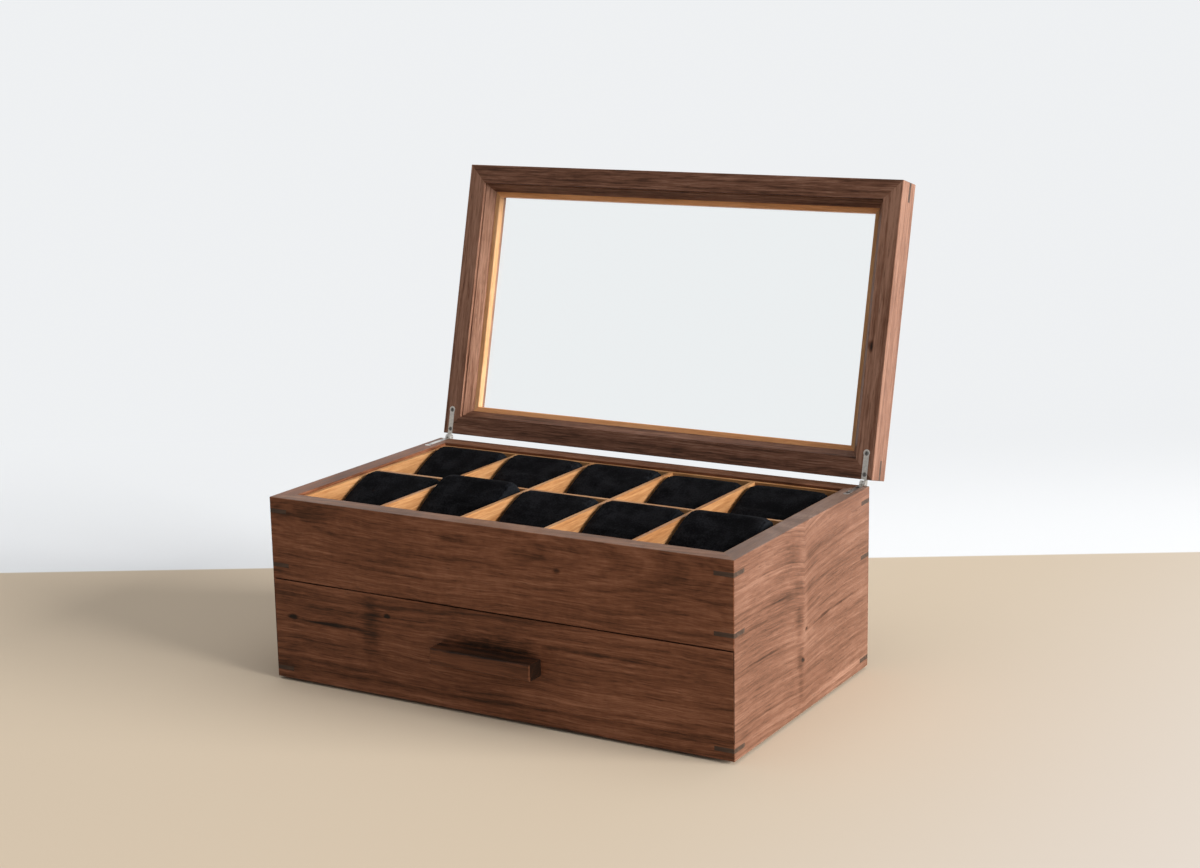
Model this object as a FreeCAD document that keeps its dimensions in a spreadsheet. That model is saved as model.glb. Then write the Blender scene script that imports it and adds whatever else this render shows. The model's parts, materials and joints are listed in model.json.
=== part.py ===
import FreeCAD, Part
import math
import os
import re
import Sketcher

# Watch box with a glazed lid, a tray of ten cells and a drawer below the tray.
# Millimetres. X to the right, Y to the back, Z up. The origin is the centre of the base pad's
# underside. The lid is drawn shut and then turned open about its hinge axis.

os.makedirs("parts", exist_ok=True)
doc = FreeCAD.newDocument("WatchBox")

# Driving sizes: name, value, meaning

SIZES = [
    ("case_width", 356, "case, left face to right face"),
    ("case_depth", 208, "case, front face to back face"),
    ("case_height", 129, "case walls, lower edge to rim"),
    ("wall_thick", 14, "case walls and drawer front"),
    ("edge_ease", 0.4, "width of the eased edges"),
    ("base_pad_thick", 2, "felt sheet under the case"),
    ("base_pad_inset", 8, "felt sheet, in from the case's faces"),
    ("bottom_thick", 6, "bottom panel"),
    ("bottom_rabbet", 5, "how far the bottom panel lies under the walls"),
    ("front_rail_height", 12, "rail below the drawer"),
    ("upper_front_height", 57.4, "front panel above the drawer"),
    ("drawer_kerf", 1, "saw cut between the drawer front and the panel above"),
    ("tray_lip", 4, "front panel below the tray floor"),
    ("tray_floor_thick", 4, "tray floor"),
    ("groove_depth", 5, "grooves that hold the tray floor"),
    ("panel_gap", 0.3, "room around a loose panel in its groove"),
    ("key_thick", 3, "corner keys"),
    ("key_leg", 14, "corner keys, along each face"),
    ("key_top_drop", 9.4, "upper keys, centre below the rim"),
    ("key_middle_drop", 47.8, "middle keys, centre below the rim"),
    ("key_bottom_rise", 7, "lower keys, centre above the walls' lower edge"),
    ("liner_thick", 3, "lining boards of the tray"),
    ("liner_drop", 2, "lining boards, below the rim"),
    ("divider_thick", 3, "dividers of the tray"),
    ("cell_count", 5, "cells in one row"),
    ("lid_thick", 23, "lid"),
    ("lid_gap", 0.6, "room between the shut lid and the rim"),
    ("lid_open_angle", 104, "lid at its stop"),
    ("lid_flat", 13.6, "flat underside of the lid rails"),
    ("lid_step", 2.6, "step beside the flat"),
    ("lid_facet", 1, "narrow flat beside the step"),
    ("lid_chamfer_width", 4.3, "chamfer beside the facet, across"),
    ("lid_chamfer_depth", 5.9, "chamfer beside the facet, up"),
    ("lid_lip_reach", 1.8, "lip over the glass"),
    ("lid_key_rise", 13.3, "lid keys, centre above the underside"),
    ("bead_setback", 2, "glass bead, above the chamfer's inner edge"),
    ("bead_width", 3.7, "glass bead, across"),
    ("bead_depth", 5.5, "glass bead, up"),
    ("glass_thick", 3, "glass pane"),
    ("glass_gap", 0.2, "room around the glass pane"),
    ("hinge_inset", 6, "leaf centre, in from the side face"),
    ("hinge_setback", 3, "hinge axis, behind the back face"),
    ("leaf_width", 4, "hinge leaves"),
    ("leaf_thick", 2.4, "hinge leaves"),
    ("leaf_eye_radius", 2.4, "round end of a leaf"),
    ("case_leaf_length", 28, "leaf on the case, from the back face"),
    ("lid_leaf_length", 21, "leaf on the lid, from the back face"),
    ("knuckle_radius", 2.4, "hinge knuckles"),
    ("knuckle_gap", 0.3, "between the two knuckles"),
    ("hinge_pin_radius", 1.2, "hinge pins"),
    ("hinge_pin_gap", 0.15, "room around the pin in the lid's knuckle"),
    ("screw_head_radius", 1.6, "countersunk hinge screws"),
    ("screw_head_depth", 1.2, "countersunk hinge screws"),
    ("screw_shank_radius", 0.8, "countersunk hinge screws"),
    ("screw_cross_reach", 1.1, "arms of the cross in a hinge screw's head"),
    ("screw_cross_width", 0.6, "arms of the cross in a hinge screw's head"),
    ("screw_cross_depth", 0.9, "cross in a hinge screw's head"),
    ("screw_length", 7.5, "countersunk hinge screws"),
    ("case_screw_near", 7, "case leaf, first screw from the back face"),
    ("case_screw_far", 23, "case leaf, second screw from the back face"),
    ("lid_screw_near", 3.5, "lid leaf, first screw from the back face"),
    ("lid_screw_far", 18.2, "lid leaf, second screw from the back face"),
    ("runner_width", 14, "drawer runners"),
    ("drawer_rise", 0.15, "drawer above its runners and the front rail"),
    ("drawer_end_gap", 0.6, "drawer front, from the side panels' mitres"),
    ("drawer_side_gap", 0.8, "drawer sides, from the case"),
    ("drawer_back_gap", 6, "drawer back, from the case"),
    ("drawer_side_thick", 8, "drawer sides and back"),
    ("drawer_side_drop", 4, "drawer sides, below the top of the drawer front"),
    ("drawer_bottom_rise", 6, "drawer bottom, above the sides' lower edge"),
    ("drawer_bottom_thick", 3, "drawer bottom"),
    ("drawer_groove", 4, "grooves that hold the drawer bottom"),
    ("lining_thick", 1, "suede sheet in the drawer"),
    ("lining_gap", 0.3, "suede sheet, from the drawer's sides"),
    ("pull_width", 77.5, "drawer pull"),
    ("pull_height", 11, "drawer pull"),
    ("pull_depth", 14, "drawer pull, in front of the drawer front"),
    ("pull_drop", 1.8, "drawer pull, centre below the drawer front's centre"),
    ("pull_ease", 0.8, "drawer pull, eased edges"),
    ("pull_screw_spacing", 48, "between the two pull screws"),
    ("pull_screw_radius", 1.75, "pull screws"),
    ("pull_screw_depth", 10, "pull screws, into the pull"),
    ("pull_head_radius", 3.5, "pull screws, head"),
    ("pull_head_thick", 2.2, "pull screws, head"),
    ("pillow_gap", 0.4, "pillows, from the tray floor and the divider behind"),
    ("pillow_side_gap", 2, "pillows, from the dividers beside them"),
    ("pillow_front_space", 15, "free space in front of a pillow"),
    ("pillow_rise", 0.9, "pillow tops above the rim"),
    ("pillow_swell", 2.6, "bulge of the broad faces beyond the end radius"),
    ("pillow_cap", 4.2, "crown of the end caps, beyond the end seam"),
    ("pillow_seam_scale", 0.955, "section at the end seam, drawn in"),
    ("pillow_cap_scale", 0.86, "section at the end of the cap"),
    ("pillow_draw_share", 0.8, "where the section begins to draw in, as a share of the way to the seam"),
    ("pillow_angle", 29, "slope of a settled pillow"),
    ("pillow_angle_high", 34.3, "slope of the highest pillow"),
    ("pillow_angle_raised", 30.5, "slope of a pillow that sits a little high"),
    ("pillow_angle_low", 26.7, "slope of a pillow that sits a little low"),
]
ALIASES = [alias for alias, number, meaning in SIZES]

sheet = doc.addObject("Spreadsheet::Sheet", "Sizes")
for row, (alias, number, meaning) in enumerate(SIZES, 1):
    sheet.set(f"A{row}", alias)
    sheet.set(f"B{row}", str(number))
    sheet.setAlias(f"B{row}", alias)
    sheet.set(f"C{row}", meaning)
doc.recompute()

# Places worked out from the driving sizes

HALF_WIDTH = "(case_width / 2)"
HALF_DEPTH = "(case_depth / 2)"
CASE_BOTTOM = "base_pad_thick"
RIM = "(base_pad_thick + case_height)"
INSIDE_X = f"({HALF_WIDTH} - wall_thick)"
INSIDE_Y = f"({HALF_DEPTH} - wall_thick)"
RAIL_TOP = f"({CASE_BOTTOM} + front_rail_height)"
UPPER_FRONT = f"({RIM} - upper_front_height)"
TRAY_UNDERSIDE = f"({UPPER_FRONT} + tray_lip)"
TRAY_TOP = f"({TRAY_UNDERSIDE} + tray_floor_thick)"
LINER_TOP = f"({RIM} - liner_drop)"
TRAY_X = f"({INSIDE_X} - liner_thick)"
TRAY_Y = f"({INSIDE_Y} - liner_thick)"
CELL_PITCH = f"((2 * {TRAY_X} + divider_thick) / cell_count)"
CELL_DEPTH = f"({TRAY_Y} - divider_thick / 2)"
KEY_LEVELS = {
    "top": f"({RIM} - key_top_drop)",
    "middle": f"({RIM} - key_middle_drop)",
    "bottom": f"({CASE_BOTTOM} + key_bottom_rise)",
}
LID_BOTTOM = f"({RIM} + lid_gap)"
LID_KEY_LEVEL = f"({LID_BOTTOM} + lid_key_rise)"
AXIS_Y = f"({HALF_DEPTH} + hinge_setback)"
AXIS_Z = f"({RIM} + lid_gap / 2)"
RABBET = "(lid_flat + lid_facet + lid_chamfer_width)"
CHAMFER_RISE = "(lid_step + lid_chamfer_depth)"
BEAD_RISE = f"({CHAMFER_RISE} + bead_setback)"
GLASS_RISE = f"({BEAD_RISE} + bead_depth)"
LIP_RISE = f"({GLASS_RISE} + glass_thick)"
HINGE_X = f"({HALF_WIDTH} - hinge_inset)"
DRAWER_BOTTOM = f"({RAIL_TOP} + drawer_rise)"
DRAWER_TOP = f"({UPPER_FRONT} - drawer_kerf)"
DRAWER_BACK_Y = f"({INSIDE_Y} - drawer_back_gap)"
DRAWER_OUTSIDE = f"({INSIDE_X} - drawer_side_gap)"
DRAWER_INSIDE = f"({DRAWER_OUTSIDE} - drawer_side_thick)"
DRAWER_SIDE_TOP = f"({DRAWER_TOP} - drawer_side_drop)"
DRAWER_FLOOR = f"({DRAWER_BOTTOM} + drawer_bottom_rise)"
DRAWER_FLOOR_TOP = f"({DRAWER_FLOOR} + drawer_bottom_thick)"
PULL_Z = f"(({DRAWER_BOTTOM} + {DRAWER_TOP}) / 2 - pull_drop)"

nodes = []


# Helpers


def size(text):
    """The value of an expression in the sheet's names."""
    return float(sheet.evalExpression(text))


def bound(text):
    """The same expression as another object has to write it."""
    return re.sub(r"\b([a-z_]+)\b", lambda m: f"Sizes.{m[1]}" if m[1] in ALIASES else m[1], text)


def bind(thing, **properties):
    """Sets properties of a feature to expressions in the sheet's names."""
    for name, text in properties.items():
        thing.setExpression(name.replace("__", "."), bound(text))


def new_body(label):
    body = doc.addObject("PartDesign::Body", label)
    body.Label = label
    nodes.append(body)
    return body


def sketch_on(body, role, level, *loops):
    """A sketch of closed straight-sided loops on one of the body's own planes, each corner held by
    two bound distances. The plane is moved along its normal by level."""
    sketch = body.newObject("Sketcher::SketchObject", "outline")
    plane = next(item for item in body.Origin.OriginFeatures if item.Role == role)
    sketch.AttachmentSupport = (plane, [""])
    sketch.MapMode = "FlatFace"
    bind(sketch, AttachmentOffset__Base__z=level)
    for loop in loops:
        first = sketch.GeometryCount
        corners = [FreeCAD.Vector(size(across), size(up), 0) for across, up in loop]
        for here, there in zip(corners, corners[1:] + corners[:1]):
            sketch.addGeometry(Part.LineSegment(here, there))
        for i, (across, up) in enumerate(loop):
            line = first + i
            following = first + (i + 1) % len(loop)
            sketch.addConstraint(Sketcher.Constraint("Coincident", line, 2, following, 1))
            for kind, text in (("DistanceX", across), ("DistanceY", up)):
                held = Sketcher.Constraint(kind, -1, 1, line, 1, size(text))
                index = sketch.addConstraint(held)
                sketch.setExpression(f"Constraints[{index}]", bound(text))
    return sketch


def pad(body, role, level, length, *loops):
    feature = body.newObject("PartDesign::Pad", "pad")
    feature.Profile = sketch_on(body, role, level, *loops)
    bind(feature, Length=length)
    return feature


def pocket(body, level, length, *loops):
    """Cuts upwards from level through the given height."""
    feature = body.newObject("PartDesign::Pocket", "pocket")
    feature.Profile = sketch_on(body, "XY_Plane", level, *loops)
    feature.Reversed = True
    bind(feature, Length=length)
    return feature


def block(body, kind, across, deep, high):
    """A box between two places along X, Y and Z. kind is Additive or Subtractive."""
    box = body.newObject(f"PartDesign::{kind}Box", "block")
    for name, axis, (low, top) in zip(("Length", "Width", "Height"), "xyz", (across, deep, high)):
        bind(box, **{name: f"({top}) - ({low})", f"Placement__Base__{axis}": low})
    return box


TURNS = {
    "x": FreeCAD.Rotation(FreeCAD.Vector(0, 1, 0), 90),
    "y": FreeCAD.Rotation(FreeCAD.Vector(1, 0, 0), -90),
    "z": FreeCAD.Rotation(),
    "down": FreeCAD.Rotation(FreeCAD.Vector(1, 0, 0), 180),
}


def rod(body, kind, radius, along, place, length):
    """A cylinder that starts at place and runs along an axis."""
    rod_feature = body.newObject(f"PartDesign::{kind}Cylinder", "rod")
    rod_feature.Placement.Rotation = TURNS[along]
    bind(rod_feature, Radius=radius, Height=length)
    for axis, text in zip("xyz", place):
        bind(rod_feature, **{f"Placement__Base__{axis}": text})
    return rod_feature


def countersink(body, kind, along, place):
    """A screw head's cone, widest at place and narrowing along an axis."""
    cone = body.newObject(f"PartDesign::{kind}Cone", "cone")
    cone.Placement.Rotation = TURNS[along]
    bind(cone, Radius1="screw_head_radius", Radius2="screw_shank_radius", Height="screw_head_depth")
    for axis, text in zip("xyz", place):
        bind(cone, **{f"Placement__Base__{axis}": text})
    return cone


def cross_recess(body, along, place):
    """The driver's cross in the head of a screw that is driven up or down."""
    across, deep, face = place
    depth = f"{face} - screw_cross_depth" if along == "down" else f"{face} + screw_cross_depth"
    high = sorted((face, depth), key=size)
    long_arm, short_arm = "screw_cross_reach", "screw_cross_width / 2"
    for half_x, half_y in ((long_arm, short_arm), (short_arm, long_arm)):
        wide = (f"{across} - {half_x}", f"{across} + {half_x}")
        block(body, "Subtractive", wide, (f"{deep} - {half_y}", f"{deep} + {half_y}"), high)


def turned(angle):
    return FreeCAD.Placement(FreeCAD.Vector(), FreeCAD.Rotation(FreeCAD.Vector(0, 0, 1), angle))


def opened():
    """The turn that takes the shut lid to its stop."""
    axis = FreeCAD.Vector(0, size(AXIS_Y), size(AXIS_Z))
    turn = FreeCAD.Rotation(FreeCAD.Vector(-1, 0, 0), size("lid_open_angle"))
    return FreeCAD.Placement(FreeCAD.Vector(), turn, axis)


def mirrored(loop, side):
    return [(f"{side} * ({across})", up) for across, up in loop]


# The four sides of a frame: turn about Z, then the span and the reach of that side as
# (length of the side, distance from the centre to its outer face)

FRONT, RIGHT, BACK, LEFT = 0, 90, 180, 270


def spans(turn, width, depth):
    if turn in (FRONT, BACK):
        return width, f"({depth} / 2)"
    return depth, f"({width} / 2)"


def mitred_member(label, turn, width, depth, level, section, ease="edge_ease"):
    """One side of a mitred frame, drawn as its front side and turned into place. The section's
    points are (in from the outer face, up from level)."""
    span, reach = spans(turn, width, depth)
    body = new_body(label)
    profile = [(f"{inward} - {reach}", f"{level} + {up}") for inward, up in section]
    pad(body, "YZ_Plane", f"-{span} / 2", span, profile)
    thickest = "(" + max((inward for inward, up in section), key=size) + ")"
    tallest = max((up for inward, up in section), key=size)
    mitre = [
        (f"{span} / 2 - {ease}", f"-{reach} - {ease}"),
        (f"{span} / 2 - {ease}", f"-{reach}"),
        (f"{span} / 2 - {ease} / 2", f"{ease} / 2 - {reach}"),
        (f"{span} / 2 - 2 * {thickest}", f"2 * {thickest} - {reach}"),
        (f"{span} / 2 + {thickest}", f"2 * {thickest} - {reach}"),
        (f"{span} / 2 + {thickest}", f"-{reach} - {ease}"),
    ]
    pocket(body, level, tallest, mitre, mirrored(mitre, -1))
    body.Placement = turned(turn)
    return body


def corner_loops():
    """The corner keys' outline at the four corners of the case."""
    loops = []
    for right in (1, -1):
        for back in (1, -1):
            loops.append([
                (f"{right} * ({HALF_WIDTH} - key_leg)", f"{back} * {HALF_DEPTH}"),
                (f"{right} * ({HALF_WIDTH} - edge_ease)", f"{back} * {HALF_DEPTH}"),
                (f"{right} * {HALF_WIDTH}", f"{back} * ({HALF_DEPTH} - edge_ease)"),
                (f"{right} * {HALF_WIDTH}", f"{back} * ({HALF_DEPTH} - key_leg)"),
            ])
    return loops


def key_slots(body, turn, level):
    """Slots for the corner keys at both ends of a case or lid member."""
    span, reach = spans(turn, "case_width", "case_depth")
    slot = [
        (f"{span} / 2 - key_leg", f"-{reach}"),
        (f"{span} / 2", f"-{reach}"),
        (f"{span} / 2", f"key_leg - {reach}"),
    ]
    pocket(body, f"{level} - key_thick / 2", "key_thick", slot, mirrored(slot, -1))


def corner_keys(label, level):
    body = new_body(label)
    pad(body, "XY_Plane", f"{level} - key_thick / 2", "key_thick", *corner_loops())
    return body


def leaf_places(turn):
    """Where the hinge leaves cross a side or back member, in that member's own frame: each as a
    function from (distance from the middle of the case, distance back from the back face)."""
    if turn == RIGHT:
        return [lambda across, back: (f"{HALF_DEPTH} - ({back})", f"-({across})")]
    if turn == LEFT:
        return [lambda across, back: (f"({back}) - {HALF_DEPTH}", f"-({across})")]
    return [
        lambda across, back: (f"{across}", f"({back}) - {HALF_DEPTH}"),
        lambda across, back: (f"-({across})", f"({back}) - {HALF_DEPTH}"),
    ]


def hinge_seat(body, turn, leaf_length, screws, leaf_low, screw_start, along):
    """The mortise for a hinge leaf, its round end and its screws' pilot holes."""
    for place in leaf_places(turn):
        corners = [
            place(f"{HINGE_X} + leaf_width / 2", "0"),
            place(f"{HINGE_X} - leaf_width / 2", f"{leaf_length} - leaf_eye_radius"),
        ]
        across = sorted((corner[0] for corner in corners), key=size)
        deep = sorted((corner[1] for corner in corners), key=size)
        block(body, "Subtractive", across, deep, (leaf_low, f"{leaf_low} + leaf_thick"))
        eye = place(HINGE_X, f"{leaf_length} - leaf_eye_radius")
        rod(body, "Subtractive", "leaf_eye_radius", "z", (*eye, leaf_low), "leaf_thick")
        for screw in screws:
            hole = place(HINGE_X, screw)
            rod(body, "Subtractive", "screw_shank_radius", along, (*hole, screw_start), "screw_length")


CASE_SCREWS = ("case_screw_near", "case_screw_far")
LID_SCREWS = ("lid_screw_near", "lid_screw_far")


# Case


def wall_section(height, ends, groove):
    """A case wall. Its outer edges are eased at the rim and at the foot, where ends says it has
    them, and are left sharp beside the drawer. A foot has the rabbet for the bottom panel."""
    points = []
    if "foot" in ends:
        points += [
            ("0", "edge_ease"),
            ("edge_ease", "0"),
            ("wall_thick - bottom_rabbet", "0"),
            ("wall_thick - bottom_rabbet", "bottom_thick"),
            ("wall_thick", "bottom_thick"),
        ]
    else:
        points += [("0", "0"), ("wall_thick", "0")]
    if groove:
        points += [
            ("wall_thick", groove),
            ("wall_thick - groove_depth", groove),
            ("wall_thick - groove_depth", f"{groove} + tray_floor_thick"),
            ("wall_thick", f"{groove} + tray_floor_thick"),
        ]
    if "rim" in ends:
        points += [
            ("wall_thick", f"{height} - edge_ease"),
            ("wall_thick - edge_ease", height),
            ("edge_ease", height),
            ("0", f"{height} - edge_ease"),
        ]
    else:
        points += [("wall_thick", height), ("0", height)]
    return points


def case_member(label, turn, level, height, ends, groove, keys):
    section = wall_section(height, ends, groove)
    body = mitred_member(label, turn, "case_width", "case_depth", level, section)
    for key in keys:
        key_slots(body, turn, KEY_LEVELS[key])
    return body


def make_case():
    groove = f"({TRAY_UNDERSIDE} - {CASE_BOTTOM})"
    whole = ("foot", "rim")
    keys = ("top", "middle", "bottom")
    for label, turn in (("side_panel_left", LEFT), ("side_panel_right", RIGHT), ("back_panel", BACK)):
        body = case_member(label, turn, CASE_BOTTOM, "case_height", whole, groove, keys)
        hinge_seat(body, turn, "case_leaf_length", CASE_SCREWS, f"{RIM} - leaf_thick", RIM, "down")
    upper_keys = ("top", "middle")
    case_member("front_panel", FRONT, UPPER_FRONT, "upper_front_height", ("rim",), "tray_lip", upper_keys)
    case_member("front_rail", FRONT, CASE_BOTTOM, "front_rail_height", ("foot",), None, ("bottom",))
    for name, level in KEY_LEVELS.items():
        corner_keys(f"corner_keys_{name}", level)

    bottom = new_body("bottom_panel")
    across = f"({INSIDE_X} + bottom_rabbet)"
    deep = f"({INSIDE_Y} + bottom_rabbet)"
    high = (CASE_BOTTOM, f"{CASE_BOTTOM} + bottom_thick")
    block(bottom, "Additive", (f"-{across}", across), (f"-{deep}", deep), high)

    floor = new_body("tray_floor")
    across = f"({INSIDE_X} + groove_depth - panel_gap)"
    deep = f"({INSIDE_Y} + groove_depth - panel_gap)"
    block(floor, "Additive", (f"-{across}", across), (f"-{deep}", deep), (TRAY_UNDERSIDE, TRAY_TOP))

    felt = new_body("base_pad")
    across = f"({HALF_WIDTH} - base_pad_inset)"
    deep = f"({HALF_DEPTH} - base_pad_inset)"
    block(felt, "Additive", (f"-{across}", across), (f"-{deep}", deep), ("0", "base_pad_thick"))

    for label, side in (("drawer_runner_left", -1), ("drawer_runner_right", 1)):
        runner = new_body(label)
        ends = sorted((f"{side} * {INSIDE_X}", f"{side} * ({INSIDE_X} - runner_width)"), key=size)
        high = (f"{CASE_BOTTOM} + bottom_thick", RAIL_TOP)
        block(runner, "Additive", ends, (f"-{INSIDE_Y}", INSIDE_Y), high)


# Tray


def make_tray():
    height = f"({LINER_TOP} - {TRAY_TOP})"
    section = [("0", "0"), ("liner_thick", "0"), ("liner_thick", height), ("0", height)]
    for name, turn in (("front", FRONT), ("right", RIGHT), ("back", BACK), ("left", LEFT)):
        width, depth = f"(2 * {INSIDE_X})", f"(2 * {INSIDE_Y})"
        mitred_member(f"liner_{name}", turn, width, depth, TRAY_TOP, section, "panel_gap / 2")

    middle = f"(({TRAY_TOP} + {LINER_TOP}) / 2)"
    half = "(divider_thick / 2)"
    crossings = [f"({i} - cell_count / 2) * {CELL_PITCH}" for i in range(1, int(size("cell_count")))]

    long_divider = new_body("long_divider")
    block(long_divider, "Additive", (f"-{TRAY_X}", TRAY_X), (f"-{half}", half), (TRAY_TOP, LINER_TOP))
    for number, place in enumerate(crossings, 1):
        across = (f"{place} - {half}", f"{place} + {half}")
        block(long_divider, "Subtractive", across, (f"-{half}", half), (middle, LINER_TOP))
        cross = new_body(f"cross_divider_{number}")
        block(cross, "Additive", across, (f"-{TRAY_Y}", TRAY_Y), (TRAY_TOP, LINER_TOP))
        block(cross, "Subtractive", across, (f"-{half}", half), (TRAY_TOP, middle))


# Lid


def lid_section():
    facet = "(lid_flat + lid_facet)"
    return [
        ("0", "lid_thick - edge_ease"),
        ("0", "edge_ease"),
        ("edge_ease", "0"),
        ("lid_flat", "0"),
        ("lid_flat", "lid_step"),
        (facet, "lid_step"),
        (RABBET, CHAMFER_RISE),
        (RABBET, LIP_RISE),
        (f"{RABBET} + lid_lip_reach", LIP_RISE),
        (f"{RABBET} + lid_lip_reach", "lid_thick"),
        ("edge_ease", "lid_thick"),
    ]


def make_lid():
    rise = f"({GLASS_RISE} - {BEAD_RISE})"
    bead = [
        ("0", "0"),
        ("bead_width - edge_ease", "0"),
        ("bead_width", "edge_ease"),
        ("bead_width", rise),
        ("0", rise),
    ]
    for name, turn in (("front", FRONT), ("right", RIGHT), ("back", BACK), ("left", LEFT)):
        rail = mitred_member(
            f"lid_rail_{name}", turn, "case_width", "case_depth", LID_BOTTOM, lid_section()
        )
        key_slots(rail, turn, LID_KEY_LEVEL)
        if turn != FRONT:
            hinge_seat(rail, turn, "lid_leaf_length", LID_SCREWS, LID_BOTTOM, LID_BOTTOM, "z")
        rail.Placement = opened() * turned(turn)
        width, depth = f"(case_width - 2 * {RABBET})", f"(case_depth - 2 * {RABBET})"
        level = f"({LID_BOTTOM} + {BEAD_RISE})"
        strip = mitred_member(f"glass_bead_{name}", turn, width, depth, level, bead, "glass_gap / 2")
        strip.Placement = opened() * turned(turn)

    keys = corner_keys("lid_keys", LID_KEY_LEVEL)
    keys.Placement = opened()

    pane = new_body("glass_pane")
    across = f"({HALF_WIDTH} - {RABBET} - glass_gap)"
    deep = f"({HALF_DEPTH} - {RABBET} - glass_gap)"
    high = (f"{LID_BOTTOM} + {GLASS_RISE}", f"{LID_BOTTOM} + {LIP_RISE}")
    block(pane, "Additive", (f"-{across}", across), (f"-{deep}", deep), high)
    pane.Placement = opened()


# Hinges


def hinge_leaf(label, side, leaf_length, low, screws, screw_top, along, inner, bore):
    """A leaf with a round end, a neck to one side and a knuckle on the hinge axis."""
    body = new_body(label)
    half = "(leaf_width / 2)"
    middle = f"({side} * {HINGE_X})"
    near_end = f"({HALF_DEPTH} - {leaf_length} + leaf_eye_radius)"
    high = (low, f"{low} + leaf_thick")
    block(body, "Additive", (f"{middle} - {half}", f"{middle} + {half}"), (near_end, HALF_DEPTH), high)
    rod(body, "Additive", "leaf_eye_radius", "z", (middle, near_end, low), "leaf_thick")
    width = f"({half} - knuckle_gap / 2)"
    start = f"({middle} - {half})" if inner else f"({middle} + knuckle_gap / 2)"
    block(body, "Additive", (start, f"{start} + {width}"), (HALF_DEPTH, AXIS_Y), high)
    rod(body, "Additive", "knuckle_radius", "x", (start, AXIS_Y, AXIS_Z), width)
    rod(body, "Subtractive", bore, "x", (start, AXIS_Y, AXIS_Z), width)
    for screw in screws:
        place = (middle, f"{HALF_DEPTH} - {screw}", screw_top)
        countersink(body, "Subtractive", along, place)
        rod(body, "Subtractive", "screw_shank_radius", along, place, "leaf_thick")
    return body


def hinge_screws(label, screws, screw_top, along):
    body = new_body(label)
    for side in (-1, 1):
        for screw in screws:
            place = (f"{side} * {HINGE_X}", f"{HALF_DEPTH} - {screw}", screw_top)
            countersink(body, "Additive", along, place)
            rod(body, "Additive", "screw_shank_radius", along, place, "screw_length")
            cross_recess(body, along, place)
    return body


def make_hinges():
    for name, side in (("left", -1), ("right", 1)):
        inner = side == 1
        hinge_leaf(
            f"hinge_case_leaf_{name}", side, "case_leaf_length", f"({RIM} - leaf_thick)",
            CASE_SCREWS, RIM, "down", inner, "hinge_pin_radius",
        )
        lid_leaf = hinge_leaf(
            f"hinge_lid_leaf_{name}", side, "lid_leaf_length", LID_BOTTOM,
            LID_SCREWS, LID_BOTTOM, "z", not inner, "hinge_pin_radius + hinge_pin_gap",
        )
        lid_leaf.Placement = opened()
        pin = new_body(f"hinge_pin_{name}")
        start = (f"{side} * {HINGE_X} - leaf_width / 2", AXIS_Y, AXIS_Z)
        rod(pin, "Additive", "hinge_pin_radius", "x", start, "leaf_width")
    hinge_screws("hinge_case_screws", CASE_SCREWS, RIM, "down")
    lid_screws = hinge_screws("hinge_lid_screws", LID_SCREWS, LID_BOTTOM, "z")
    lid_screws.Placement = opened()


# Drawer


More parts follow.
